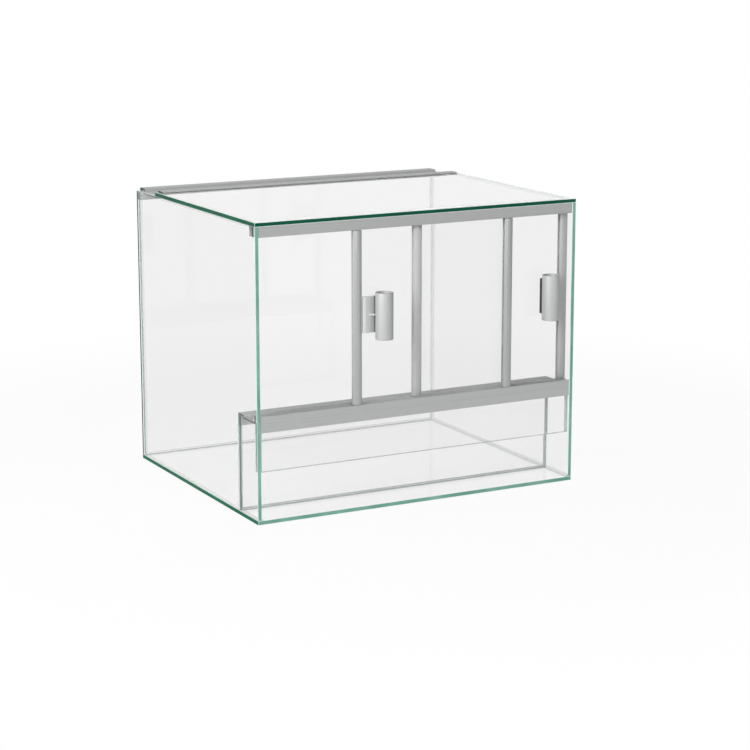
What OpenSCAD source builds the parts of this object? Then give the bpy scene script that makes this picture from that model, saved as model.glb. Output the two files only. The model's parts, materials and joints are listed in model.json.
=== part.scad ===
// Front-opening glass terrarium cabinet with two sliding doors and two perforated vent profiles.
// Origin: centre of the base on the floor. +X to the right, -Y to the front, +Z up. Millimetres.

/* [Cabinet] */
// Outside width
cabinet_w = 365; // [300:5:900]
// Outside depth
cabinet_d = 300; // [200:5:600]
// Height of the top pane's upper face
cabinet_h = 300; // [220:5:900]
// Thickness of the fixed panes
glass_t = 4; // [3:0.5:8]
// Bond gap at the ends of a pane or profile that stands between two others
end_gap = 0.25; // [0.1:0.05:0.4]

/* [Front sill] */
// Front plane to the front face of the sill pane
sill_setback = 42; // [34:1:80]
// Height of the lower vent profile's web above the floor
vent_h = 101.8; // [80:0.1:140]
// Height of the open air inlet below the apron pane
inlet_h = 52.5; // [20:0.5:70]
// Front plane to the faces of the door tracks and of the lower vent profile
track_inset = 0.5; // [0:0.1:3]

/* [Vent profiles] */
// Wall thickness of the aluminium profiles
profile_t = 1.2; // [0.8:0.1:2]
// Play between a pane's face and the clamp around it
clamp_gap = 0.2; // [0.1:0.05:0.4]
// Depth of a clamp below the web
clamp_depth = 8.2; // [5:0.1:14]
// Rise of the rear lip above the web
lip_rise = 2.4; // [1.5:0.1:5]
// Width of the rear lip in front of its clamp
lip_w = 6.5; // [3:0.5:10]
// Rear plane to the rear edge of the top pane
rear_vent_w = 52; // [40:1:80]
// Overlap of the rear profile's flange on the top pane
flange_lap = 11; // [6:1:20]
// Height of the rear lip above the underside of the top pane
rear_lip_h = 3; // [1:0.1:6]
// Diameter of one perforation
hole_d = 2.4; // [1.5:0.1:3]
// Distance between neighbouring perforations
hole_pitch = 4.5; // [4:0.1:8]
// Bare margin along each long side of a perforated web
hole_margin = 2.5; // [1.5:0.5:5]

/* [Door tracks] */
// Play between a door pane and each side of its channel
channel_gap = 0.35; // [0.3:0.05:0.6]
// Floor thickness of a track
track_floor = 1; // [0.8:0.1:2]
// Height of the lower track
lower_track_h = 6.9; // [5:0.1:10]
// Height of the upper track
upper_track_h = 10.5; // [9:0.1:18]
// Thickness of the bond between a track and what carries it
bond_t = 0.3; // [0.2:0.05:0.5]
// Thickness of the slide liners
liner_t = 0.8; // [0.5:0.1:1.2]

/* [Doors] */
// Thickness of the door panes
door_t = 4; // [3:0.5:6]
// Overlap of the two closed doors
door_lap = 9.4; // [8:0.2:20]
// Distance that the left door stands open in the stored pose
left_door_open = 102.4; // [0:0.1:110]
// Play between a closed door and the side pane
door_gap = 0.3; // [0.3:0.05:1]
// Play between a door's lower edge and its liner
door_lift_gap = 0.3; // [0.2:0.05:0.6]
// Depth of the door pane in the upper channel
door_catch = 3.4; // [2:0.1:5]
// Width of a stile
stile_w = 9.4; // [7:0.1:14]
// Wall of a stile behind the pane
stile_back = 0.8; // [0.7:0.1:1.2]
// Wall of a stile beside the pane's edge
stile_side = 1.7; // [1.3:0.1:3]
// Radius of a stile's rear corner at the door's edge
stile_round = 2.6; // [1:0.1:2.8]
// Thickness of a stile's front at its long edges
stile_edge = 0.6; // [0.5:0.1:1.5]
// Crown of a stile's front above its long edges
stile_crown = 1.2; // [0.6:0.1:2]
// Play between a stile's ends and the tracks
stile_gap = 0.4; // [0.3:0.1:1]
// Play between the stiles of the two doors as they pass
pass_gap = 0.4; // [0.3:0.1:1]
// Thickness of the gasket between a stile and the pane
gasket_t = 0.3; // [0.2:0.05:0.6]

/* [Handles] */
// Height of the middle of the handles above the middle of the doors
handle_rise = 2.8; // [-20:0.2:20]
// Play between the stile and the handle plate
handle_offset = 0.9; // [0.3:0.1:10]
// Height of the handle plate and of the post
plate_h = 36.5; // [20:0.5:60]
// Width of the handle plate
plate_w = 12.8; // [8:0.1:20]
// Width of the sloping border on the plate's outer edge
plate_border_w = 2.4; // [1:0.1:4]
// Drop of the sloping border
plate_border_t = 0.8; // [0.2:0.1:0.9]
// Thickness of the handle plate
plate_t = 1.5; // [1:0.1:3]
// Thickness of the adhesive pad
pad_t = 0.5; // [0.3:0.1:1]
// Length of the gusset on the plate
gusset_l = 6.5; // [3:0.5:8]
// Height of the gusset above the plate
gusset_h = 3.3; // [2:0.1:4]
// Thickness of the gusset
gusset_t = 1.8; // [1:0.1:3]
// Width of the post under the grip
post_w = 9; // [6:0.5:14]
// Height of the grip
grip_h = 47.2; // [30:0.2:80]
// Outer diameter of the grip's tube
grip_d = 18; // [14:0.5:26]
// Distance from the door pane to the grip
grip_gap = 5; // [4.5:0.1:15]
// Wall of the grip's tube
grip_t = 1.5; // [1:0.1:2.5]

/* [Seams] */
// Leg of the silicone beads in the corners
bead = 3; // [1.5:0.5:3.5]

/* [Hidden] */
$fn = 48;

glass_colour = [0.78, 0.92, 0.87, 0.45];
metal_colour = [0.74, 0.75, 0.76];
seam_colour = [0.86, 0.88, 0.88];
dark_colour = [0.12, 0.12, 0.13];
liner_colour = [0.82, 0.83, 0.82];

// Outer faces of the cabinet and the clear width between the side panes
front_y = -cabinet_d / 2;
rear_y = cabinet_d / 2;
inner_w = cabinet_w - 2 * glass_t;
span_w = inner_w - 2 * end_gap;
side_h = cabinet_h - 2 * glass_t;
top_z = cabinet_h - glass_t;

// How far a clamp's wall stands past the pane's face
clamp_out = clamp_gap + profile_t;

// Panes that the clamps hold
face_y = front_y + track_inset;
apron_y = face_y + clamp_out;
sill_y = front_y + sill_setback;
rear_pane_y = rear_y - clamp_out - glass_t;
web_under = vent_h - profile_t;
clamp_z = web_under - clamp_depth;
lip_z = vent_h + lip_rise;
rear_lip_z = top_z + rear_lip_h;
rear_web_z = top_z - clamp_gap;
rear_clamp_z = rear_web_z - profile_t - clamp_depth;
rear_edge_y = rear_y - rear_vent_w;
flange_y = rear_edge_y - flange_lap;

// Tracks: two channels with a middle wall that lets the stiles pass
channel_w = door_t + 2 * channel_gap;
stile_front = gasket_t + stile_edge + stile_crown;
stile_rear = gasket_t + stile_back;
mid_wall = stile_front + stile_rear + pass_gap - 2 * channel_gap;
track_d = 2 * channel_w + mid_wall + 2 * profile_t;
track_z = vent_h + bond_t;
lower_lip_z = track_z + lower_track_h;
upper_track_top = top_z - bond_t;
upper_lip_z = upper_track_top - upper_track_h;
front_channel_y = face_y + profile_t;
rear_channel_y = front_channel_y + channel_w + mid_wall;
track_back_y = face_y + track_d;

// Doors
door_w = (inner_w + door_lap) / 2 - door_gap;
door_z = track_z + track_floor + liner_t + door_lift_gap;
door_top = upper_lip_z + door_catch;
door_h = door_top - door_z;
stile_z = lower_lip_z + stile_gap;
stile_h = upper_lip_z - stile_gap - stile_z;
pane_w = door_w - 2 * (stile_side + gasket_t);
door_side_x = inner_w / 2 - door_gap - door_w / 2;
left_door_y = front_channel_y + channel_gap;
right_door_y = rear_channel_y + channel_gap;

// Handles: places measured from the door's outer edge
plate_x = stile_w + handle_offset;
post_x = plate_x + plate_w;
grip_x = post_x + post_w / 2;
grip_y = -grip_gap - grip_d / 2;
handle_z = stile_z + stile_h / 2 + handle_rise;
plate_z = handle_z - plate_h / 2;

// ---- shared shapes ----

// A box from its low corner
module box_at(x, y, z, w, d, h) {
    translate([x, y, z]) cube([w, d, h]);
}

// A section drawn as [y, z] and run along X, centred
module along_x(w) {
    rotate([90, 0, 90]) linear_extrude(w, center = true) children();
}

// A rectangle in a section, from its low and high corners
module slab(y0, z0, y1, z1) {
    translate([y0, z0]) square([y1 - y0, z1 - z0]);
}

// A pane with its three sizes, centred across X
module pane(w, y, z, d, h) {
    color(glass_colour) box_at(-w / 2, y, z, w, d, h);
}

// Flat web with staggered round perforations, low corner at [-w/2, y0]
module perforated_web(w, y0, y1, z) {
    row_step = hole_pitch * sin(60);
    first_y = y0 + hole_margin + hole_d / 2;
    last_y = y1 - hole_margin - hole_d / 2;
    rows = max(1, floor((last_y - first_y) / row_step) + 1);
    start_y = (first_y + last_y - (rows - 1) * row_step) / 2;
    columns = floor((w - 2 * hole_margin - hole_d - hole_pitch / 2) / hole_pitch) + 1;
    start_x = -(columns - 1) * hole_pitch / 2;
    translate([0, 0, z]) linear_extrude(profile_t) difference() {
        translate([-w / 2, y0]) square([w, y1 - y0]);
        for (row = [0 : rows - 1], column = [0 : columns - 1]) {
            shift = (row % 2 == 0 ? -1 : 1) * hole_pitch / 4;
            translate([start_x + column * hole_pitch + shift, start_y + row * row_step]) circle(d = hole_d);
        }
    }
}

// Section of a clamp that hangs over a pane's edge: y is the pane's front face
module clamp_section(y, bottom, roof) {
    slab(y - clamp_out, bottom, y - clamp_gap, roof);
    slab(y + glass_t + clamp_gap, bottom, y + glass_t + clamp_out, roof);
    slab(y - clamp_out, roof - profile_t, y + glass_t + clamp_out, roof);
}

// Section of the raised lip, from the web's end to the clamp behind it
module lip_section(y, web_top, roof) {
    step_y = y - clamp_out - lip_w;
    slab(step_y, roof - profile_t, y, roof);
    slab(step_y, web_top - profile_t, step_y + profile_t, roof);
}

// Section of a double channel: its floor lies at floor_z and its walls run to lip_z
module track_section(floor_z, floor_side, lip) {
    low = min(floor_z, lip);
    high = max(floor_z, lip);
    slab(face_y, low, front_channel_y, high);
    slab(front_channel_y + channel_w, low, rear_channel_y, high);
    slab(rear_channel_y + channel_w, low, track_back_y, high);
    slab(face_y, min(floor_z, floor_side), track_back_y, max(floor_z, floor_side));
}

// Silicone bead with a hollow face in the corner between -X and -Z, run along Y or Z
module bead_section() {
    difference() {
        square(bead);
        translate([bead * 1.5, bead * 1.5]) circle(r = bead * 1.5);
    }
}

// Bead along Y in a lower corner; side is -1 at the left pane and 1 at the right one
module floor_bead(side, y0, y1) {
    translate([side * inner_w / 2, y1, glass_t])
        scale_side(side) rotate([90, 0, 0]) linear_extrude(y1 - y0) bead_section();
}

// Mirrors its children for the right side
module scale_side(side) {
    mirror([side > 0 ? 1 : 0, 0, 0]) children();
}

// Upright bead between a side pane and the rear face of a cross pane
module upright_bead(side, y, z0, z1) {
    translate([side * inner_w / 2, y, z0])
        scale_side(side) linear_extrude(z1 - z0) bead_section();
}

// ---- fixed panes ----

module base_pane() {
    pane(cabinet_w, front_y, 0, cabinet_d, glass_t);
}

module side_pane(side) {
    x = side > 0 ? inner_w / 2 : -cabinet_w / 2;
    color(glass_colour) box_at(x, front_y, glass_t, glass_t, cabinet_d, side_h);
}

module rear_pane() {
    pane(span_w, rear_pane_y, glass_t, glass_t, rear_lip_z - profile_t - clamp_gap - glass_t);
}

module top_pane() {
    pane(cabinet_w, front_y, top_z, rear_edge_y - front_y, glass_t);
}

module sill_pane() {
    pane(span_w, sill_y, glass_t, glass_t, lip_z - profile_t - clamp_gap - glass_t);
}

module apron_pane() {
    pane(span_w, apron_y, inlet_h, glass_t, web_under - clamp_gap - inlet_h);
}

// ---- vent profiles ----

module lower_vent_strip() {
    color(metal_colour) {
        along_x(span_w) {
            clamp_section(apron_y, clamp_z, vent_h);
            clamp_section(sill_y, clamp_z, lip_z);
            lip_section(sill_y, vent_h, lip_z);
            slab(face_y, web_under, track_back_y, vent_h);
        }
        perforated_web(span_w, track_back_y, sill_y - clamp_out - lip_w, web_under);
    }
}

module rear_vent_strip() {
    step_y = rear_pane_y - clamp_out - lip_w;
    riser_y = rear_edge_y + clamp_gap;
    color(metal_colour) {
        along_x(span_w) {
            clamp_section(rear_pane_y, rear_clamp_z, rear_lip_z);
            lip_section(rear_pane_y, rear_web_z, rear_lip_z);
            slab(flange_y, rear_web_z - profile_t, riser_y + profile_t, rear_web_z);
            slab(riser_y, rear_web_z, riser_y + profile_t, cabinet_h + clamp_gap + profile_t);
            slab(flange_y, cabinet_h + clamp_gap, riser_y + profile_t, cabinet_h + clamp_gap + profile_t);
        }
        perforated_web(span_w, riser_y + profile_t, step_y, rear_web_z - profile_t);
    }
}

// ---- door tracks ----

module lower_track() {
    color(metal_colour) along_x(span_w)
        track_section(track_z, track_z + track_floor, lower_lip_z);
}

module upper_track() {
    color(metal_colour) along_x(span_w)
        track_section(upper_track_top, upper_track_top - track_floor, upper_lip_z);
}

module lower_track_bond() {
    color(seam_colour) along_x(span_w) slab(face_y, vent_h, track_back_y, track_z);
}

module upper_track_bond() {
    color(seam_colour) along_x(span_w) slab(face_y, upper_track_top, track_back_y, top_z);
}

module track_liner(channel_y) {
    floor_z = track_z + track_floor;
    color(liner_colour) along_x(span_w)
        slab(channel_y, floor_z, channel_y + channel_w, floor_z + liner_t);
}

// ---- silicone seams ----

module seam_base(side) {
    color(seam_colour) {
        floor_bead(side, front_y, sill_y);
        floor_bead(side, sill_y + glass_t + bead, rear_pane_y - bead);
    }
}

// Beads across the cabinet: behind the sill pane, and in front of the rear pane
module seam_base_sill() {
    color(seam_colour) translate([0, sill_y + glass_t, glass_t]) along_x(inner_w) bead_section();
}

module seam_base_rear() {
    color(seam_colour) translate([0, rear_pane_y, glass_t])
        along_x(inner_w) mirror([1, 0]) bead_section();
}

module seam_rear(side) {
    color(seam_colour) translate([0, rear_pane_y, 0]) mirror([0, 1, 0])
        upright_bead(side, 0, glass_t + bead, rear_clamp_z - end_gap);
}

module seam_sill(side) {
    color(seam_colour) upright_bead(side, sill_y + glass_t, glass_t + bead, clamp_z - end_gap);
}

module seam_apron(side) {
    color(seam_colour) upright_bead(side, apron_y + glass_t, inlet_h, clamp_z - end_gap);
}

module seam_top(side) {
    color(seam_colour) translate([0, 0, top_z + glass_t]) mirror([0, 0, 1])
        floor_bead(side, track_back_y + end_gap, flange_y - end_gap);
}

// ---- doors, drawn with the handle's side at X = 0 and the pane's front face at Y = 0 ----

// The left door stands open by left_door_open
module at_left_door() {
    translate([-door_side_x + left_door_open - door_w / 2, left_door_y, 0]) children();
}

// The right door is closed, and its handle is the mirror image of the left one's
module at_right_door() {
    translate([door_side_x + door_w / 2, right_door_y, 0]) mirror([1, 0, 0]) children();
}

module door_pane() {
    color(glass_colour) box_at((door_w - pane_w) / 2, 0, door_z, pane_w, door_t, door_h);
}

// Section of the lining in the stile at the door's handle side
module gasket_section() {
    difference() {
        translate([stile_side, -gasket_t]) square([stile_w - stile_side, door_t + 2 * gasket_t]);
        translate([stile_side + gasket_t, 0]) square([stile_w, door_t]);
    }
}

// Stile section: a channel round the lining with a crowned front and a rounded rear corner
module stile_section() {
    crown_r = stile_w * stile_w / (8 * stile_crown) + stile_crown / 2;
    edge_y = -gasket_t - stile_edge;
    back_y = door_t + gasket_t + stile_back;
    difference() {
        union() {
            translate([0, edge_y]) square([stile_w, back_y - edge_y]);
            intersection() {
                translate([stile_w / 2, edge_y - stile_crown + crown_r]) circle(r = crown_r, $fn = 96);
                translate([0, edge_y - stile_crown]) square([stile_w, stile_crown + stile_edge / 2]);
            }
        }
        translate([stile_side, -gasket_t]) square([stile_w, door_t + 2 * gasket_t]);
        translate([0, back_y - stile_round]) difference() {
            square(stile_round);
            translate([stile_round, 0]) circle(r = stile_round);
        }
    }
}

// Places a stile or lining at the door's handle side (-1) or far side (1)
module at_edge(side) {
    translate([side > 0 ? door_w : 0, 0, stile_z]) scale_side(side) linear_extrude(stile_h) children();
}

module door_stile(side) {
    color(metal_colour) at_edge(side) stile_section();
}

module door_gasket(side) {
    color(seam_colour) at_edge(side) gasket_section();
}

// ---- handles, drawn beside the stile at X = 0 ----

module handle_pad() {
    color(dark_colour) box_at(plate_x, -pad_t, plate_z, plate_w + post_w, pad_t, plate_h);
}

module handle_plate() {
    plate_y = -pad_t - plate_t;
    color(metal_colour) {
        translate([0, 0, plate_z]) linear_extrude(plate_h) polygon([
            [plate_x, -pad_t],
            [plate_x, plate_y + plate_border_t],
            [plate_x + plate_border_w, plate_y],
            [post_x, plate_y],
            [post_x, -pad_t]
        ]);
        translate([0, 0, handle_z - gusset_t / 2]) linear_extrude(gusset_t)
            polygon([[post_x - gusset_l, plate_y], [post_x, plate_y - gusset_h], [post_x, plate_y]]);
    }
}

// Outline of the grip, moved in by a distance
module grip_disc(inset) {
    translate([grip_x, grip_y]) circle(r = grip_d / 2 - inset, $fn = 96);
}

module handle_post() {
    color(dark_colour) translate([0, 0, plate_z]) linear_extrude(plate_h) difference() {
        translate([post_x, grip_y]) square([post_w, -pad_t - grip_y]);
        grip_disc(0);
    }
}

module handle_grip() {
    color(metal_colour) translate([0, 0, handle_z - grip_h / 2]) linear_extrude(grip_h) difference() {
        grip_disc(0);
        grip_disc(grip_t);
    }
}

base_pane();
side_pane(-1);  // left_side_pane
side_pane(1);  // right_side_pane
rear_pane();
top_pane();
sill_pane();
apron_pane();
lower_vent_strip();
rear_vent_strip();
lower_track();
upper_track();
lower_track_bond();
upper_track_bond();
track_liner(front_channel_y);  // front_track_liner
track_liner(rear_channel_y);  // rear_track_liner

seam_base(-1);  // seam_base_left
seam_base(1);  // seam_base_right
seam_base_rear();
seam_base_sill();
seam_rear(-1);  // seam_rear_left
seam_rear(1);  // seam_rear_right
seam_sill(-1);  // seam_sill_left
seam_sill(1);  // seam_sill_right
seam_apron(-1);  // seam_apron_left
seam_apron(1);  // seam_apron_right
seam_top(-1);  // seam_top_left
seam_top(1);  // seam_top_right

at_left_door() door_pane();  // left_door_pane
at_left_door() door_stile(-1);  // left_door_left_stile
at_left_door() door_stile(1);  // left_door_right_stile
at_left_door() door_gasket(-1);  // left_door_left_gasket
at_left_door() door_gasket(1);  // left_door_right_gasket
at_left_door() handle_pad();  // left_handle_pad
at_left_door() handle_plate();  // left_handle_plate
at_left_door() handle_post();  // left_handle_post
at_left_door() handle_grip();  // left_handle_grip

at_right_door() door_pane();  // right_door_pane
at_right_door() door_stile(1);  // right_door_left_stile
at_right_door() door_stile(-1);  // right_door_right_stile
at_right_door() door_gasket(1);  // right_door_left_gasket
at_right_door() door_gasket(-1);  // right_door_right_gasket
at_right_door() handle_pad();  // right_handle_pad
at_right_door() handle_plate();  // right_handle_plate
at_right_door() handle_post();  // right_handle_post
at_right_door() handle_grip();  // right_handle_grip
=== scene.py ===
import bpy
import json
import math
from mathutils import Matrix, Vector

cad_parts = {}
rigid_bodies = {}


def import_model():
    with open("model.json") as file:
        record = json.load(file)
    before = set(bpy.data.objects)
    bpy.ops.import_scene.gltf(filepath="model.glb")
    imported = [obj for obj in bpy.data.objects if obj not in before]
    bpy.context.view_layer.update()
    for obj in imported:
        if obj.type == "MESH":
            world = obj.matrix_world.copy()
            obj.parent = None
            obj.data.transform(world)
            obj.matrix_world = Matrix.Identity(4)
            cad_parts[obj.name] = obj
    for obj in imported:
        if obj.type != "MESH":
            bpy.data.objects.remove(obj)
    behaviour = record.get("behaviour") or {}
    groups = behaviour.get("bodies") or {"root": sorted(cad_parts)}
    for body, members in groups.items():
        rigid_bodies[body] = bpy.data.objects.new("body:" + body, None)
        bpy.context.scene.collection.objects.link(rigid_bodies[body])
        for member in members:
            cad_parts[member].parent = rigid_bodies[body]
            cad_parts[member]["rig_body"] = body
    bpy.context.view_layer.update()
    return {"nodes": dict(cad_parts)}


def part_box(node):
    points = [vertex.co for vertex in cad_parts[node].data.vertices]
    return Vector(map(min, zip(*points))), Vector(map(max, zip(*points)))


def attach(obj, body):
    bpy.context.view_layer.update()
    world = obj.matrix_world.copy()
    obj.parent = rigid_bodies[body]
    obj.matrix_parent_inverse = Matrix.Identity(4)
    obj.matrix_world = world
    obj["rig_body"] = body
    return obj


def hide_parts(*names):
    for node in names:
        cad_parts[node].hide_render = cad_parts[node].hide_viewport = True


# Terrarium cabinet: float glass panes with arrised green edges, satin anodised
# aluminium profiles and two sliding doors with short tube handles.
# The CAD frame gives every place; everything here is in metres.

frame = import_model()
cadNodes = frame["nodes"]
millimetre = 0.001
print("frame loaded:", len(cadNodes), "nodes")


# The camera is fitted to the cabinet's corners in the photo, without a shift.
cameraView = {
    "place": (-1.0530, -2.0328, 0.6079),
    "yaw": 27.997,       # degrees, turned from +Y towards +X
    "pitch": 12.426,     # degrees below the horizon
    "roll": 0.037,
    "lens": 105.1,
    "sensor": 36.0,
    "near": 0.05,        # m, clipping
    "far": 50,
}


def addCamera(view):
    data = bpy.data.cameras.new("productCamera")
    data.lens = view["lens"]
    data.sensor_width = view["sensor"]
    data.clip_start, data.clip_end = view["near"], view["far"]
    camera = bpy.data.objects.new("productCamera", data)
    bpy.context.scene.collection.objects.link(camera)
    camera.location = view["place"]
    camera.rotation_euler = (
        math.radians(90 - view["pitch"]),
        math.radians(view["roll"]),
        math.radians(-view["yaw"]),
    )
    bpy.context.scene.camera = camera


addCamera(cameraView)
print("camera placed")


def toLinear(hexColour):
    # sRGB hex such as #B4B6B6 to the linear values that the shaders take
    parts = [int(hexColour[i:i + 2], 16) / 255 for i in (1, 3, 5)]
    return [c / 12.92 if c <= 0.04045 else ((c + 0.055) / 1.055) ** 2.4 for c in parts] + [1.0]


def startMaterial(name):
    material = bpy.data.materials.new(name)
    material.use_nodes = True
    material.node_tree.nodes.clear()
    return material


def addNode(material, kind, settings=None, values=None, links=None):
    # one node with its settings, its fixed inputs and what feeds it
    made = material.node_tree.nodes.new(kind)
    for key, value in (settings or {}).items():
        setattr(made, key, value)
    for key, value in (values or {}).items():
        made.inputs[key].default_value = value
    for key, source in (links or {}).items():
        material.node_tree.links.new(source, made.inputs[key])
    return made


noiseSpan = {"From Min": 0.3, "From Max": 0.7}    # most of a noise's values lie in it


# Clear float glass: colourless to look through with a breath of grey, mirror smooth,
# and still a little wavy from the float bath, which only its reflections show.
clearGlass = {
    "shine": 0.45,           # share of the full reflection, as under a soft studio tent
    "straightOn": 0.04,      # what of the shine is left where the pane is met head on
    "waveSize": 70,          # mm from crest to crest
    "waveHeight": 0.0005,    # mm
}
glassIor = 1.52


def makeFloatGlass(name, look, through):
    material = startMaterial(name)
    coords = addNode(material, "ShaderNodeTexCoord")
    wave = addNode(material, "ShaderNodeTexNoise",
                   values={"Scale": 1 / (look["waveSize"] * millimetre), "Detail": 1.0, "Roughness": 0.4},
                   links={"Vector": coords.outputs["Object"]})
    ripple = addNode(material, "ShaderNodeBump",
                     values={"Strength": 0.5, "Distance": look["waveHeight"] * millimetre},
                     links={"Height": wave.outputs["Fac"]})
    mirror = addNode(material, "ShaderNodeBsdfGlossy",
                     values={"Color": toLinear("#FFFFFF"), "Roughness": 0.0},
                     links={"Normal": ripple.outputs["Normal"]})
    bending = addNode(material, "ShaderNodeBsdfRefraction",
                      values={"Color": toLinear(through), "Roughness": 0.0, "IOR": glassIor})
    passing = addNode(material, "ShaderNodeBsdfTransparent", values={"Color": toLinear(through)})
    slant = addNode(material, "ShaderNodeLayerWeight", values={"Blend": 0.5})
    steep = addNode(material, "ShaderNodeMath", {"operation": "POWER"}, {1: 5.0},
                    {0: slant.outputs["Facing"]})
    share = addNode(material, "ShaderNodeMapRange",
                    values={"To Min": look["straightOn"] * look["shine"], "To Max": look["shine"]},
                    links={"Value": steep.outputs[0]})
    pane = addNode(material, "ShaderNodeMixShader",
                   links={0: share.outputs[0], 1: bending.outputs[0], 2: mirror.outputs[0]})
    rays = addNode(material, "ShaderNodeLightPath")
    surface = addNode(material, "ShaderNodeMixShader",
                      links={0: rays.outputs["Is Shadow Ray"], 1: pane.outputs[0], 2: passing.outputs[0]})
    addNode(material, "ShaderNodeOutputMaterial", links={"Surface": surface.outputs[0]})
    return material


# What all cut edges and arrises share. Sizes are in mm.
cutEdge = {
    "streak": 38,            # how far one green reaches before it turns
    "grain": 1.1,            # of the polish
    "grit": 0.6,             # of the ground arris
    "gloss": 0.04,           # specular level of the polished edge, against glare
    "through": "#F4F8F6",    # tint of what still passes the edge
}


def makeGlassEdge(name, deep, pale, outside, inside):
    # Polished float glass edge: the green is the glass's own tint, while the glow of light that has run
    # along the pane is painted into its deep and pale colour, uneven along the run. From inside the pane
    # the same edge is only a faint line.
    material = startMaterial(name)
    coords = addNode(material, "ShaderNodeTexCoord")
    stretch = addNode(material, "ShaderNodeTexNoise",
                      values={"Scale": 1 / (cutEdge["streak"] * millimetre),
                              "Detail": 3.0, "Roughness": 0.55},
                      links={"Vector": coords.outputs["Object"]})
    grain = addNode(material, "ShaderNodeTexNoise",
                    values={"Scale": 1 / (cutEdge["grain"] * millimetre), "Detail": 2.0},
                    links={"Vector": coords.outputs["Object"]})
    blend = addNode(material, "ShaderNodeMapRange", values=noiseSpan,
                    links={"Value": stretch.outputs["Fac"]})
    tone = addNode(material, "ShaderNodeMix", {"data_type": "RGBA"},
                   {6: toLinear(deep), 7: toLinear(pale)}, {0: blend.outputs[0]})
    polish = addNode(material, "ShaderNodeMapRange",
                     values={"To Min": 0.1, "To Max": 0.3}, links={"Value": grain.outputs["Fac"]})
    body = addNode(material, "ShaderNodeBsdfPrincipled",
                   values={"IOR": glassIor, "Specular IOR Level": cutEdge["gloss"]},
                   links={"Base Color": tone.outputs[2], "Roughness": polish.outputs[0]})
    passing = addNode(material, "ShaderNodeBsdfTransparent",
                      values={"Color": toLinear(cutEdge["through"])})
    side = addNode(material, "ShaderNodeNewGeometry")
    share = addNode(material, "ShaderNodeMapRange",
                    values={"To Min": outside, "To Max": inside},
                    links={"Value": side.outputs["Backfacing"]})
    edge = addNode(material, "ShaderNodeMixShader",
                   links={0: share.outputs[0], 1: passing.outputs[0], 2: body.outputs[0]})
    addNode(material, "ShaderNodeOutputMaterial", links={"Surface": edge.outputs[0]})
    return material


def makeArris(name, dark, light, outside, inside):
    # Ground arris: the narrow 45 degree flat that a belt leaves on a glass edge, silky. Its tones are
    # painted: pale ones a painted highlight, dark ones painted shade, green ones the painted glow of the
    # pane. From inside the pane it is fainter, as light passes it on its way out.
    material = startMaterial(name)
    coords = addNode(material, "ShaderNodeTexCoord")
    grit = addNode(material, "ShaderNodeTexNoise",
                   values={"Scale": 1 / (cutEdge["grit"] * millimetre), "Detail": 2.0},
                   links={"Vector": coords.outputs["Object"]})
    tone = addNode(material, "ShaderNodeMix", {"data_type": "RGBA"},
                   {6: toLinear(dark), 7: toLinear(light)}, {0: grit.outputs["Fac"]})
    silk = addNode(material, "ShaderNodeMapRange", values={"To Min": 0.3, "To Max": 0.55},
                   links={"Value": grit.outputs["Fac"]})
    body = addNode(material, "ShaderNodeBsdfPrincipled", values={"IOR": glassIor},
                   links={"Base Color": tone.outputs[2], "Roughness": silk.outputs[0]})
    passing = addNode(material, "ShaderNodeBsdfTransparent",
                      values={"Color": toLinear(cutEdge["through"])})
    side = addNode(material, "ShaderNodeNewGeometry")
    share = addNode(material, "ShaderNodeMapRange",
                    values={"To Min": outside, "To Max": inside},
                    links={"Value": side.outputs["Backfacing"]})
    arris = addNode(material, "ShaderNodeMixShader",
                    links={0: share.outputs[0], 1: passing.outputs[0], 2: body.outputs[0]})
    addNode(material, "ShaderNodeOutputMaterial", links={"Surface": arris.outputs[0]})
    return material


# what one surface lets pass: the panes at the back and below carry the grey of the whole view
floatGlass = makeFloatGlass("floatGlassClear", clearGlass, through="#FDFDFD")
floatGlassFar = makeFloatGlass("floatGlassFarPanes", clearGlass, through="#F9F9F9")
farPanes = ("rear_pane", "right_side_pane", "base_pane")

# outside and inside are how solid an edge looks from either side of it
# painted light: the pale and clear arrises are a painted highlight, the dark and rear ones painted shade,
# the green and faint ones a painted glow
arrisPale = makeArris("groundArrisPale", "#C3E0D6", "#E4F2EC", outside=0.75, inside=0.12)
arrisDark = makeArris("groundArrisDark", "#2F4A41", "#4A655B", outside=0.8, inside=0.6)
arrisClear = makeArris("groundArrisClear", "#C3E0D6", "#E4F2EC", outside=0.5, inside=0.02)
arrisGreen = makeArris("groundArrisGreen", "#17694D", "#2B7F62", outside=0.97, inside=0.05)
arrisFaint = makeArris("groundArrisFaint", "#8C9A95", "#A9B4B0", outside=0.2, inside=0.15)
arrisRear = makeArris("groundArrisRear", "#133529", "#21493A", outside=0.98, inside=0.98)
# edges in the open air: the painted glow of the light that has run along the pane, deeper or paler by
# pane
edgeDeep = makeGlassEdge("glassEdgeDeep", "#0B4432", "#13533D", outside=0.99, inside=0.02)
edgeGreen = makeGlassEdge("glassEdgeGreen", "#0D6347", "#1C7A59", outside=0.99, inside=0.03)
edgeBase = makeGlassEdge("glassEdgeBase", "#07523A", "#0E6247", outside=0.99, inside=0.03)
edgeMint = makeGlassEdge("glassEdgeMint", "#5F9585", "#85B2A2", outside=0.94, inside=0.05)
# edges that stand against another pane or in a profile, painted by pane: the milky tone is painted light,
# the sill, rear and rear-end tones painted shade, the bonded and far-sill ones a faint painted glow
edgeBonded = makeGlassEdge("glassEdgeBonded", "#6F8A81", "#8FA39C", outside=0.12, inside=0.05)
edgeMilky = makeGlassEdge("glassEdgeMilky", "#DCE3E0", "#E8EDEB", outside=0.85, inside=0.05)
edgeSill = makeGlassEdge("glassEdgeSill", "#2E493F", "#4A655B", outside=0.97, inside=0.12)
edgeSillFar = makeGlassEdge("glassEdgeSillFar", "#5F9C8A", "#7FB3A3", outside=0.95, inside=0.5)
edgeRear = makeGlassEdge("glassEdgeRear", "#0A2C21", "#133E30", outside=0.99, inside=0.99)
edgeRearEnd = makeGlassEdge("glassEdgeRearEnd", "#4E6D62", "#6B857C", outside=0.75, inside=0.5)


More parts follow.
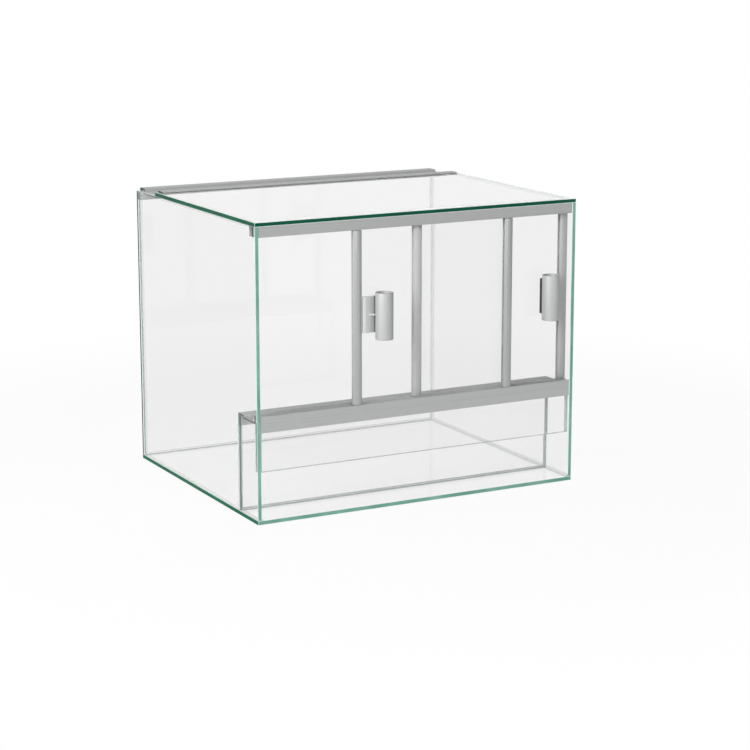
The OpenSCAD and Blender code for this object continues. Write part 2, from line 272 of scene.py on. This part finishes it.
# What all the anodised pieces share. Sizes are in mm.
anodising = {
    "linePitch": 0.5,      # between die lines: real ones are about 0.1 apart and wouldn't show
    "lineLength": 400,     # along the run, before a line turns
    "lineDepth": 0.01,
    "cloud": 45,           # over which the gloss wanders
    "glossSpread": 0.05,
    "rim": 0.25,           # rounding that lets sharp edges catch light
    "sheen": "#B8B8B8",
}


def makeAnodised(name, run, look):
    # Satin anodised aluminium, extruded: grey, soft sheen, with fine die lines along the run.
    # The oxide skin scatters, so part of the look is plain grey and part is metal.
    material = startMaterial(name)
    coords = addNode(material, "ShaderNodeTexCoord")
    linePitch = anodising["linePitch"] * millimetre
    scales = [1 / linePitch, 1 / linePitch, 1 / linePitch]
    scales["XYZ".index(run)] = 1 / (anodising["lineLength"] * millimetre)
    stretched = addNode(material, "ShaderNodeMapping", {"vector_type": "POINT"}, {"Scale": scales},
                        {"Vector": coords.outputs["Object"]})
    lines = addNode(material, "ShaderNodeTexNoise",
                    values={"Scale": 1.0, "Detail": 3.0, "Roughness": 0.6},
                    links={"Vector": stretched.outputs["Vector"]})
    cloud = addNode(material, "ShaderNodeTexNoise",
                    values={"Scale": 1 / (anodising["cloud"] * millimetre), "Detail": 2.0},
                    links={"Vector": coords.outputs["Object"]})
    lineTone = addNode(material, "ShaderNodeMapRange", values=noiseSpan,
                       links={"Value": lines.outputs["Fac"]})
    colour = addNode(material, "ShaderNodeMix", {"data_type": "RGBA"},
                     {6: toLinear(look["dark"]), 7: toLinear(look["light"])}, {0: lineTone.outputs[0]})
    if "paintedEndShade" in look:
        # painted shade: the two ends, which stand against the side panes, get a near black tone; the
        # faces that lie face up get a painted tone of their own for how the light falls on them
        shape = addNode(material, "ShaderNodeNewGeometry")
        ways = addNode(material, "ShaderNodeSeparateXYZ", links={0: shape.outputs["Normal"]})
        along = addNode(material, "ShaderNodeMath", {"operation": "ABSOLUTE"},
                        links={0: ways.outputs[run]})
        for tone, amount in (("paintedTopTone", ways.outputs["Z"]), ("paintedEndShade", along.outputs[0])):
            share = addNode(material, "ShaderNodeMapRange",
                            values={"From Min": 0.9, "From Max": 0.97}, links={"Value": amount})
            colour = addNode(material, "ShaderNodeMix", {"data_type": "RGBA"},
                             {7: toLinear(look[tone])}, {0: share.outputs[0], 6: colour.outputs[2]})
    rough = addNode(material, "ShaderNodeMapRange",
                    values={**noiseSpan, "To Min": look["rough"] - anodising["glossSpread"],
                            "To Max": look["rough"] + anodising["glossSpread"]},
                    links={"Value": cloud.outputs["Fac"]})
    rounded = addNode(material, "ShaderNodeBevel", {"samples": 4},
                      {"Radius": anodising["rim"] * millimetre})
    relief = addNode(material, "ShaderNodeBump",
                     values={"Strength": 0.25, "Distance": anodising["lineDepth"] * millimetre},
                     links={"Height": lines.outputs["Fac"], "Normal": rounded.outputs["Normal"]})
    metal = addNode(material, "ShaderNodeBsdfPrincipled",
                    values={"Metallic": look["metallic"], "Specular Tint": toLinear(anodising["sheen"])},
                    links={"Base Color": colour.outputs[2], "Roughness": rough.outputs[0],
                           "Normal": relief.outputs["Normal"]})
    addNode(material, "ShaderNodeOutputMaterial", links={"Surface": metal.outputs[0]})
    return material


# dark and light are the two tones of the die lines, rough and metallic the shader's own; the tone of the
# faces that lie face up and the near black of the ends are painted light and shade
railLook = {"dark": "#A4A5A5", "light": "#B0B1B1", "rough": 0.5, "metallic": 0.25,
            "paintedTopTone": "#929393", "paintedEndShade": "#161717"}
rearLook = {"dark": "#A4A5A5", "light": "#B6B7B7", "rough": 0.55, "metallic": 0.2,
            "paintedTopTone": "#ADAEAE", "paintedEndShade": "#1E1F1F"}
headLook = {"dark": "#9C9D9D", "light": "#A8A9A9", "rough": 0.5, "metallic": 0.25,
            "paintedTopTone": "#A2A3A3", "paintedEndShade": "#2E2F2F"}
stileLook = {"dark": "#9D9E9E", "light": "#AEAFAF", "rough": 0.42, "metallic": 0.35}
gripLook = {"dark": "#A9AAAA", "light": "#B3B4B4", "rough": 0.5, "metallic": 0.25}
plateLook = {"dark": "#BFC0C0", "light": "#C9CACA", "rough": 0.55, "metallic": 0.25}

anodisedRail = makeAnodised("anodisedRail", "X", railLook)
anodisedRear = makeAnodised("anodisedRearProfile", "X", rearLook)
anodisedHead = makeAnodised("anodisedHeadRail", "X", headLook)
anodisedStile = makeAnodised("anodisedStile", "Z", stileLook)
anodisedGrip = makeAnodised("anodisedGrip", "Z", gripLook)
anodisedPlate = makeAnodised("anodisedPlate", "Z", plateLook)


siliconeLook = {
    "dark": "#8E9492",
    "light": "#A8AEAC",
    "through": "#FBFBFB",
    "waveSize": 9,         # mm, of the tooling's unevenness
    "waveHeight": 0.15,    # mm
    "rough": 0.22,
    "ior": 1.41,
    "hollow": 0.08,        # what of the feather edge's tone the hollow keeps
}


def makeSilicone(name, look, featherShare):
    # Clear neutral silicone, tooled wet: nearly clear in the hollow, with painted shade along its two
    # feather edges, where its face turns flat to the panes, standing for the dark lines that a clear
    # bead's edges show by bending light. Slightly uneven.
    material = startMaterial(name)
    coords = addNode(material, "ShaderNodeTexCoord")
    skin = addNode(material, "ShaderNodeTexNoise",
                   values={"Scale": 1 / (look["waveSize"] * millimetre), "Detail": 3.0},
                   links={"Vector": coords.outputs["Object"]})
    tone = addNode(material, "ShaderNodeMix", {"data_type": "RGBA"},
                   {6: toLinear(look["dark"]), 7: toLinear(look["light"])}, {0: skin.outputs["Fac"]})
    relief = addNode(material, "ShaderNodeBump",
                     values={"Strength": 0.4, "Distance": look["waveHeight"] * millimetre},
                     links={"Height": skin.outputs["Fac"]})
    gel = addNode(material, "ShaderNodeBsdfPrincipled",
                  values={"Roughness": look["rough"], "IOR": look["ior"]},
                  links={"Base Color": tone.outputs[2], "Normal": relief.outputs["Normal"]})
    passing = addNode(material, "ShaderNodeBsdfTransparent", values={"Color": toLinear(look["through"])})
    shape = addNode(material, "ShaderNodeNewGeometry")
    bare = addNode(material, "ShaderNodeVectorMath", {"operation": "ABSOLUTE"},
                   links={0: shape.outputs["Normal"]})
    parts = addNode(material, "ShaderNodeSeparateXYZ", links={0: bare.outputs[0]})
    sides = addNode(material, "ShaderNodeMath", {"operation": "MAXIMUM"},
                    links={0: parts.outputs["X"], 1: parts.outputs["Y"]})
    flat = addNode(material, "ShaderNodeMath", {"operation": "MAXIMUM"},
                   links={0: sides.outputs[0], 1: parts.outputs["Z"]})
    # painted shade: faces that look along an axis, the feather edges, are made opaque grey
    feather = addNode(material, "ShaderNodeMapRange",
                      values={"From Min": 0.86, "From Max": 0.98,
                              "To Min": look["hollow"] * featherShare, "To Max": featherShare},
                      links={"Value": flat.outputs[0]})
    front = addNode(material, "ShaderNodeMath", {"operation": "SUBTRACT"}, {0: 1.0},
                    {1: shape.outputs["Backfacing"]})
    share = addNode(material, "ShaderNodeMath", {"operation": "MULTIPLY"},
                    links={0: feather.outputs[0], 1: front.outputs[0]})
    seam = addNode(material, "ShaderNodeMixShader",
                   links={0: share.outputs[0], 1: passing.outputs[0], 2: gel.outputs[0]})
    addNode(material, "ShaderNodeOutputMaterial", links={"Surface": seam.outputs[0]})
    return material


mouldedSkin = {
    "cloud": 6,            # mm, over which tone and gloss wander
    "glossSpread": 0.07,
    "ior": 1.5,
}


def makeMoulded(name, dark, light, grainSize, grainDepth, roughness):
    # Moulded or foamed plastic and rubber: one tone with a fine pitted skin. Sizes are in mm.
    material = startMaterial(name)
    coords = addNode(material, "ShaderNodeTexCoord")
    pits = addNode(material, "ShaderNodeTexVoronoi", {"feature": "SMOOTH_F1"},
                   {"Scale": 1 / (grainSize * millimetre), "Smoothness": 0.6},
                   {"Vector": coords.outputs["Object"]})
    shade = addNode(material, "ShaderNodeTexNoise",
                    values={"Scale": 1 / (mouldedSkin["cloud"] * millimetre), "Detail": 3.0},
                    links={"Vector": coords.outputs["Object"]})
    tone = addNode(material, "ShaderNodeMix", {"data_type": "RGBA"},
                   {6: toLinear(dark), 7: toLinear(light)}, {0: shade.outputs["Fac"]})
    relief = addNode(material, "ShaderNodeBump",
                     values={"Strength": 0.5, "Distance": grainDepth * millimetre},
                     links={"Height": pits.outputs["Distance"]})
    rough = addNode(material, "ShaderNodeMapRange",
                    values={"To Min": roughness - mouldedSkin["glossSpread"],
                            "To Max": roughness + mouldedSkin["glossSpread"]},
                    links={"Value": shade.outputs["Fac"]})
    skin = addNode(material, "ShaderNodeBsdfPrincipled", values={"IOR": mouldedSkin["ior"]},
                   links={"Base Color": tone.outputs[2], "Roughness": rough.outputs[0],
                          "Normal": relief.outputs["Normal"]})
    addNode(material, "ShaderNodeOutputMaterial", links={"Surface": skin.outputs[0]})
    return material


clearSilicone = makeSilicone("clearSilicone", siliconeLook, featherShare=0.75)
thinSilicone = makeSilicone("clearSiliconeThin", siliconeLook, featherShare=0.2)
blackPost = makeMoulded("blackMouldedAbs", "#1B1B1C", "#2A2A2B",
                        grainSize=0.5, grainDepth=0.03, roughness=0.45)
blackFoam = makeMoulded("blackFoamTape", "#161616", "#252525",
                        grainSize=0.4, grainDepth=0.06, roughness=0.8)
paleSlide = makeMoulded("paleSlideStrip", "#BFC2C0", "#D2D4D2",
                        grainSize=0.6, grainDepth=0.01, roughness=0.35)
greyBond = makeMoulded("greyBondStrip", "#8F9191", "#A3A5A5",
                       grainSize=0.5, grainDepth=0.03, roughness=0.6)
paleBond = makeMoulded("paleBondTape", "#C9CBCA", "#D3D5D4",
                       grainSize=0.5, grainDepth=0.03, roughness=0.7)
greyGasket = makeMoulded("greyVinylGasket", "#A4A8A7", "#B8BBBA",
                         grainSize=0.5, grainDepth=0.02, roughness=0.5)
print("materials made")


# Each pane takes its size and place from its CAD node. The painted tone of an edge and of its
# two arrises, painted light and shade, is listed by the direction that the edge faces, because the same
# glass shows deep or pale green by pane as the light runs and falls, and hardly at all where it is
# bonded. Arris widths are in mm.
# A pane's faces are drawn a hair inside its CAD box, so that no face lies in a bond's face.
hair = 0.02 * millimetre
openDeep = (edgeDeep, arrisPale)
openDeepRight = (edgeDeep, arrisClear)
openGreen = (edgeGreen, arrisPale)
openMint = (edgeMint, arrisPale)
openBase = (edgeBase, arrisGreen)
openTop = (edgeDeep, arrisGreen)
bondedDark = (edgeBonded, arrisDark)
bondedFaint = (edgeBonded, arrisFaint)
milkyTop = (edgeMilky, arrisClear)
rearUpright = (edgeRear, arrisRear)
rearFar = (edgeGreen, arrisFaint)
rearEnd = (edgeRearEnd, arrisDark)
sillEnd = (edgeSill, arrisDark)
sillFar = (edgeSillFar, arrisFaint)
allFaint = dict.fromkeys(("-X", "+X", "+Z", "-Z"), bondedFaint)
paneList = {
    "base_pane": {"thin": "Z", "arris": 0.2,
                  "edges": {"-X": openBase, "+X": openGreen, "-Y": openMint, "+Y": openMint}},
    "top_pane": {"thin": "Z", "arris": 0.3,
                 "edges": {"-X": openTop, "+X": openDeepRight, "-Y": openDeep, "+Y": bondedFaint}},
    "left_side_pane": {"thin": "X", "arris": 0.35,
                       "edges": {"-Y": openMint, "+Y": rearUpright, "+Z": milkyTop, "-Z": bondedFaint}},
    "right_side_pane": {"thin": "X", "arris": 0.35,
                        "edges": {"-Y": openMint, "+Y": rearFar, "+Z": milkyTop, "-Z": bondedFaint}},
    "rear_pane": {"thin": "Y", "arris": 0.35,
                  "edges": {"-X": rearEnd, "+X": bondedFaint, "+Z": bondedFaint, "-Z": bondedDark}},
    "sill_pane": {"thin": "Y", "arris": 0.35,
                  "edges": {"-X": sillEnd, "+X": sillFar, "+Z": bondedFaint, "-Z": bondedDark}},
    "apron_pane": {"thin": "Y", "arris": 0.35,
                   "edges": {"-X": sillEnd, "+X": sillFar, "+Z": bondedFaint, "-Z": bondedDark}},
    "left_door_pane": {"thin": "Y", "arris": 0.35, "edges": allFaint},
    "right_door_pane": {"thin": "Y", "arris": 0.35, "edges": allFaint},
}


def startPiece(name):
    piece = bpy.context.object
    piece.name = piece.data.name = name
    return piece


def nameFor(node, ending):
    # left_door_pane with Glass gives LeftDoorPaneGlass
    return node.replace("_", " ").title().replace(" ", "") + ending


def addBlock(name, low, high):
    # a block between two corners, with its place in its mesh
    bpy.ops.object.select_all(action="DESELECT")
    bpy.ops.mesh.primitive_cube_add(size=1, location=(Vector(low) + Vector(high)) / 2)
    block = startPiece(name)
    block.scale = Vector(high) - Vector(low)
    bpy.ops.object.transform_apply(location=True, rotation=True, scale=True)
    return block


def softenEdges(piece, width, segments, angle=30):
    bpy.context.view_layer.objects.active = piece
    bevel = piece.modifiers.new("softEdge", "BEVEL")
    bevel.width = width
    bevel.segments = segments
    bevel.limit_method = "ANGLE"
    bevel.angle_limit = math.radians(angle)
    bpy.ops.object.modifier_apply(modifier="softEdge")


def facing(normal, skip=""):
    # "+X" style name of the way a face mostly looks, without the axis to skip
    ways = [(abs(part), ("+" if part > 0 else "-") + letter)
            for letter, part in zip("XYZ", normal) if letter != skip]
    return max(ways)[1]


def buildPane(node, plan):
    faceGlass = floatGlassFar if node in farPanes else floatGlass
    low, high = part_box(node)
    inset = Vector((hair, hair, hair))
    pane = addBlock(nameFor(node, "Glass"), low + inset, high - inset)
    softenEdges(pane, plan["arris"] * millimetre, segments=1)
    finishes = [faceGlass]
    for face in pane.data.polygons:
        flat = max(abs(part) for part in face.normal) > 0.99    # else it is an arris
        way = facing(face.normal)
        if flat and way[1] == plan["thin"]:
            finish = faceGlass
        elif flat:
            finish = plan["edges"][way][0]
        else:
            finish = plan["edges"][facing(face.normal, plan["thin"])][1]
        if finish not in finishes:
            finishes.append(finish)
        face.material_index = finishes.index(finish)
    for finish in finishes:
        pane.data.materials.append(finish)
    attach(pane, cadNodes[node]["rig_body"])
    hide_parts(node)
    return pane


for node, plan in paneList.items():
    buildPane(node, plan)
print("panes built:", len(paneList))


# Section of a stile: a channel round the pane's edge, with a crowned front and a rounded rear
# corner at the door's edge. The lining in the channel is a CAD node that stays.
stileShape = {
    "crown": 1.2 * millimetre,
    "frontWall": 0.6 * millimetre,
    "rearWall": 0.8 * millimetre,
    "sideWall": 1.7 * millimetre,
    "rearRound": 2.6 * millimetre,
    "crownSteps": 18,
    "roundSteps": 10,
    "rim": 0.22 * millimetre,
}


def stileOutline(look, width, depth):
    # points as (from the closed side, from the crown's top), once round
    crown, side = look["crown"], look["sideWall"]
    radius = (width * width / 4 + crown * crown) / (2 * crown)
    reach = math.asin(width / 2 / radius)
    points = []
    for step in range(look["crownSteps"] + 1):
        turn = reach * (2 * step / look["crownSteps"] - 1)
        points.append((width / 2 + radius * math.sin(turn), radius * (1 - math.cos(turn))))
    inFront, inRear = crown + look["frontWall"], depth - look["rearWall"]
    points += [(width, inFront), (side, inFront), (side, inRear), (width, inRear), (width, depth)]
    bend = look["rearRound"]
    for step in range(look["roundSteps"] + 1):
        turn = math.pi / 2 * step / look["roundSteps"]
        points.append((bend - bend * math.sin(turn), depth - bend + bend * math.cos(turn)))
    return points


def copyPiece(piece, node, twinNode, ending):
    # the same shape again for another node, with a mesh of its own, moved within the mesh
    twin = piece.copy()
    twin.data = piece.data.copy()
    twin.name = twin.data.name = nameFor(twinNode, ending)
    bpy.context.scene.collection.objects.link(twin)
    twin.data.transform(Matrix.Translation(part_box(twinNode)[0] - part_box(node)[0]))
    return twin


def buildStile(node, look):
    # the outline is laid on a filled circle's points and drawn up to the stile's length
    low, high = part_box(node)
    closedLeft = "left_stile" in node
    outline = stileOutline(look, high.x - low.x, high.y - low.y)
    bpy.ops.object.select_all(action="DESELECT")
    bpy.ops.mesh.primitive_circle_add(vertices=len(outline), fill_type="NGON")
    stile = startPiece(nameFor(node, "Metal"))
    for vertex, (across, deep) in zip(stile.data.vertices, outline):
        vertex.co = (low.x + across if closedLeft else high.x - across, low.y + deep, low.z)
    bpy.ops.object.mode_set(mode="EDIT")
    bpy.ops.mesh.select_all(action="SELECT")
    bpy.ops.mesh.extrude_region_move(TRANSFORM_OT_translate={"value": (0, 0, high.z - low.z)})
    bpy.ops.mesh.select_all(action="SELECT")
    bpy.ops.mesh.normals_make_consistent(inside=False)
    bpy.ops.object.mode_set(mode="OBJECT")
    softenEdges(stile, look["rim"], segments=2, angle=40)
    bpy.ops.object.shade_smooth_by_angle(angle=math.radians(30))
    stile.data.materials.append(anodisedStile)
    return stile


# the left door's two stiles are modelled, and the right door's are their copies
stiles = {node: buildStile(node, stileShape)
          for node in ("left_door_left_stile", "left_door_right_stile")}
for node, stile in list(stiles.items()):
    twinNode = node.replace("left_door", "right_door")
    stiles[twinNode] = copyPiece(stile, node, twinNode, "Metal")
for node, stile in stiles.items():
    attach(stile, cadNodes[node]["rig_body"])
    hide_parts(node)
print("stiles built:", len(stiles))


# Handles: a short tube, open at both ends, and a flat plate beside it. The black post and the
# pad between them are CAD nodes that stay.
gripShape = {
    "wall": 1.5 * millimetre,
    "sides": 96,
    "rim": 0.4 * millimetre,
}
plateShape = {
    "thickness": 1.5 * millimetre,
    "borderWidth": 2.4 * millimetre,
    "borderDrop": 0.8 * millimetre,
    "gussetRun": 6.5 * millimetre,
    "gussetHeight": 1.8 * millimetre,
    "gussetRim": 0.2 * millimetre,
    "gussetSink": 0.2 * millimetre,    # how far the gusset reaches into the plate
    "rim": 0.3 * millimetre,
}
samePlace = 1e-6    # m, closer than this counts as the same


def pickFaces(piece, test):
    # goes to edit mode with only the faces that pass the test selected
    bpy.ops.object.mode_set(mode="EDIT")
    bpy.ops.mesh.select_mode(type="FACE")
    bpy.ops.mesh.select_all(action="DESELECT")
    bpy.ops.object.mode_set(mode="OBJECT")
    for face in piece.data.polygons:
        face.select = test(face)
    bpy.ops.object.mode_set(mode="EDIT")


def buildGrip(node, look):
    # a cylinder whose two ends are inset by the wall and joined by the bore
    low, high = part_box(node)
    bpy.ops.object.select_all(action="DESELECT")
    bpy.ops.mesh.primitive_cylinder_add(vertices=look["sides"], radius=(high.x - low.x) / 2,
                                        depth=high.z - low.z, location=(low + high) / 2)
    grip = startPiece(nameFor(node, "Tube"))
    bpy.ops.object.transform_apply(location=True, rotation=True, scale=True)
    pickFaces(grip, lambda face: abs(face.normal.z) > 0.9)
    bpy.ops.mesh.inset(thickness=look["wall"], use_individual=True)
    bpy.ops.mesh.bridge_edge_loops()
    bpy.ops.mesh.select_all(action="SELECT")
    bpy.ops.mesh.normals_make_consistent(inside=False)
    bpy.ops.object.mode_set(mode="OBJECT")
    softenEdges(grip, look["rim"], segments=3, angle=40)
    bpy.ops.object.shade_smooth_by_angle(angle=math.radians(35))
    grip.data.materials.append(anodisedGrip)
    return grip


def buildPlate(node, look, outward):
    # flat plate with a sloping outer border and a gusset up to the post; outward is -1 or 1,
    # the side of the door's stile
    low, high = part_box(node)
    plateFront = high.y - look["thickness"]
    outerX, postX = (low.x, high.x) if outward < 0 else (high.x, low.x)
    plate = addBlock(nameFor(node, "Metal"), (low.x, plateFront, low.z), high)
    bpy.ops.object.mode_set(mode="EDIT")
    bpy.ops.mesh.select_all(action="SELECT")
    bpy.ops.mesh.bisect(plane_co=(outerX - outward * look["borderWidth"], 0, 0), plane_no=(1, 0, 0))
    bpy.ops.object.mode_set(mode="OBJECT")
    for vertex in plate.data.vertices:
        if abs(vertex.co.x - outerX) < samePlace and abs(vertex.co.y - plateFront) < samePlace:
            vertex.co.y += look["borderDrop"]
    softenEdges(plate, look["rim"], segments=3, angle=10)
    middle = (low.z + high.z) / 2
    tipX = postX + outward * look["gussetRun"]
    gusset = addBlock("gusset", (min(postX, tipX), low.y, middle - look["gussetHeight"] / 2),
                      (max(postX, tipX), plateFront + look["gussetSink"],
                       middle + look["gussetHeight"] / 2))
    # the front edge at the tip goes back to the plate, so that the block becomes a wedge
    for vertex in gusset.data.vertices:
        if abs(vertex.co.x - tipX) < samePlace and vertex.co.y < plateFront:
            vertex.co.y = plateFront
    softenEdges(gusset, look["gussetRim"], segments=2)
    bpy.ops.object.select_all(action="DESELECT")
    gusset.select_set(True)
    plate.select_set(True)
    bpy.context.view_layer.objects.active = plate
    bpy.ops.object.join()
    bpy.ops.object.shade_smooth_by_angle(angle=math.radians(35))
    plate.modifiers.new("evenShade", "WEIGHTED_NORMAL")
    bpy.ops.object.modifier_apply(modifier="evenShade")
    plate.data.materials.append(anodisedPlate)
    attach(plate, cadNodes[node]["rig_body"])
    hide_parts(node)
    return plate


# the right grip is a copy of the left one, while the two plates mirror each other
leftGrip = buildGrip("left_handle_grip", gripShape)
buildPlate("left_handle_plate", plateShape, outward=-1)
rightGrip = copyPiece(leftGrip, "left_handle_grip", "right_handle_grip", "Tube")
buildPlate("right_handle_plate", plateShape, outward=1)
for node, grip in (("left_handle_grip", leftGrip), ("right_handle_grip", rightGrip)):
    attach(grip, cadNodes[node]["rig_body"])
    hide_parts(node)
print("handles built")


# Finishes of the CAD nodes that stay: the first word that a node's name holds decides.
finishByWord = {
    "rear_vent_strip": anodisedRear,
    "lower_vent_strip": anodisedRail,
    "track_liner": paleSlide,
    "upper_track_bond": paleBond,
    "lower_track_bond": greyBond,
    "upper_track": anodisedHead,
    "lower_track": anodisedRail,
    "gasket": greyGasket,
    "seam_base_left": thinSilicone,
    "seam_rear_left": thinSilicone,
    "seam_top_": thinSilicone,
    "seam_": clearSilicone,
    "handle_pad": blackFoam,
    "handle_post": blackPost,
}


def finishNodes():
    for name, node in cadNodes.items():
        for word, finish in finishByWord.items():
            if word in name:
                if not node.material_slots:
                    node.data.materials.append(finish)
                for place in node.material_slots:
                    place.material = finish
                break


finishNodes()
print("CAD nodes finished")


# Stage, lamps and sky: a white studio with soft boxes and one grey flag.
studio = {
    "floorSize": 12.0,
    "floorDrop": 0.3 * millimetre,
    "floorColour": "#F4F4F4",
    "floorShadow": 0.14,      # share of the floor's look that takes the shadow
    "fibreScale": 900.0,      # per metre, of the paper's fibres
    "fibreDepth": 0.05,       # mm
    "shadowNear": 0.35,       # m from the middle, where the shadow's share starts to fade
    "shadowFar": 0.9,         # m, where the paper is plain white
    "skyLight": 0.42,
    "flagSide": (0.94, -0.34, 0.0),    # the grey flag's direction, right of the front
    "flagGrey": 0.45,                  # how bright the flag is beside the white sky
    "flagStart": 0.35,                 # where the flag fades in and is full, as a cosine
    "flagFull": 0.85,
    "aim": (0, 0, 0.15),               # m, where the lamps look
}
lamps = {
    "keySoftbox": {"place": (-2.9, -1.4, 1.6), "size": 2.0, "power": 112},
    "fillSoftbox": {"place": (0.0, -2.9, 1.5), "size": 1.6, "power": 20},
    "topSoftbox": {"place": (0.0, 0.2, 2.4), "size": 1.6, "power": 5},
}


def makeFloorMaterial(look):
    # Pale seamless paper: white to the eye and in reflections, and it keeps the soft shadow.
    material = startMaterial("paleSeamlessPaper")
    coords = addNode(material, "ShaderNodeTexCoord")
    fibre = addNode(material, "ShaderNodeTexNoise", values={"Scale": look["fibreScale"]},
                    links={"Vector": coords.outputs["Object"]})
    relief = addNode(material, "ShaderNodeBump",
                     values={"Strength": 0.1, "Distance": look["fibreDepth"] * millimetre},
                     links={"Height": fibre.outputs["Fac"]})
    paper = addNode(material, "ShaderNodeBsdfDiffuse", values={"Color": toLinear(look["floorColour"])},
                    links={"Normal": relief.outputs["Normal"]})
    glow = addNode(material, "ShaderNodeEmission", values={"Color": toLinear("#FFFFFF"), "Strength": 1.0})
    rays = addNode(material, "ShaderNodeLightPath")
    seen = addNode(material, "ShaderNodeMath", {"operation": "MAXIMUM"},
                   links={0: rays.outputs["Is Camera Ray"], 1: rays.outputs["Is Glossy Ray"]})
    seenAll = addNode(material, "ShaderNodeMath", {"operation": "MAXIMUM"},
                      links={0: seen.outputs[0], 1: rays.outputs["Is Transmission Ray"]})
    centred = addNode(material, "ShaderNodeVectorMath", {"operation": "LENGTH"},
                      links={0: coords.outputs["Object"]})
    fade = addNode(material, "ShaderNodeMapRange", {"interpolation_type": "SMOOTHSTEP"},
                   {"From Min": look["shadowNear"], "From Max": look["shadowFar"],
                    "To Min": 1 - look["floorShadow"], "To Max": 1.0},
                   {"Value": centred.outputs["Value"]})
    share = addNode(material, "ShaderNodeMath", {"operation": "MULTIPLY"},
                    links={0: seenAll.outputs[0], 1: fade.outputs[0]})
    floor = addNode(material, "ShaderNodeMixShader",
                    links={0: share.outputs[0], 1: paper.outputs[0], 2: glow.outputs[0]})
    addNode(material, "ShaderNodeOutputMaterial", links={"Surface": floor.outputs[0]})
    return material


def addStage(look):
    bpy.ops.object.select_all(action="DESELECT")
    bpy.ops.mesh.primitive_plane_add(size=look["floorSize"], location=(0, 0, -look["floorDrop"]))
    floor = startPiece("studioFloor")
    bpy.ops.object.transform_apply(location=True, rotation=True, scale=True)
    floor.data.materials.append(makeFloorMaterial(look))


def addLamps(plan):
    for name, look in plan.items():
        data = bpy.data.lights.new(name, "AREA")
        data.shape = "SQUARE"
        data.size = look["size"]
        data.energy = look["power"]
        lamp = bpy.data.objects.new(name, data)
        bpy.context.scene.collection.objects.link(lamp)
        lamp.location = look["place"]
        aim = Vector(studio["aim"]) - lamp.location
        lamp.rotation_euler = aim.to_track_quat("-Z", "Y").to_euler()


def addSky(look):
    # white wherever it is looked at; a grey flag stands at the right, so that metal
    # darkens away from the key lamp
    world = bpy.data.worlds.new("studioSky")
    bpy.context.scene.world = world
    world.use_nodes = True
    world.node_tree.nodes.clear()
    coords = addNode(world, "ShaderNodeTexCoord")
    toFlag = addNode(world, "ShaderNodeVectorMath", {"operation": "DOT_PRODUCT"}, {1: look["flagSide"]},
                     {0: coords.outputs["Generated"]})
    flagged = addNode(world, "ShaderNodeMapRange", {"interpolation_type": "SMOOTHSTEP"},
                      {"From Min": look["flagStart"], "From Max": look["flagFull"],
                       "To Min": 1.0, "To Max": look["flagGrey"]},
                      {"Value": toFlag.outputs["Value"]})
    rays = addNode(world, "ShaderNodeLightPath")
    plain = addNode(world, "ShaderNodeMapRange", values={"To Min": look["skyLight"], "To Max": 1.0},
                    links={"Value": rays.outputs["Is Glossy Ray"]})
    lit = addNode(world, "ShaderNodeMath", {"operation": "MULTIPLY"},
                  links={0: plain.outputs[0], 1: flagged.outputs[0]})
    seen = addNode(world, "ShaderNodeMath", {"operation": "MAXIMUM"},
                   links={0: rays.outputs["Is Camera Ray"], 1: rays.outputs["Is Transmission Ray"]})
    strength = addNode(world, "ShaderNodeMath", {"operation": "MAXIMUM"},
                       links={0: seen.outputs[0], 1: lit.outputs[0]})
    sky = addNode(world, "ShaderNodeBackground", values={"Color": toLinear("#FFFFFF")},
                  links={"Strength": strength.outputs[0]})
    addNode(world, "ShaderNodeOutputWorld", links={"Surface": sky.outputs[0]})


addStage(studio)
addLamps(lamps)
addSky(studio)
scene = bpy.context.scene
scene.view_settings.view_transform = "Standard"
# a view can cross many panes, so rays go on for longer than by default
scene.cycles.transparent_max_bounces = 40
scene.cycles.max_bounces = 32
scene.cycles.transmission_bounces = 32
scene.cycles.glossy_bounces = 10
print("stage, lamps and sky ready")
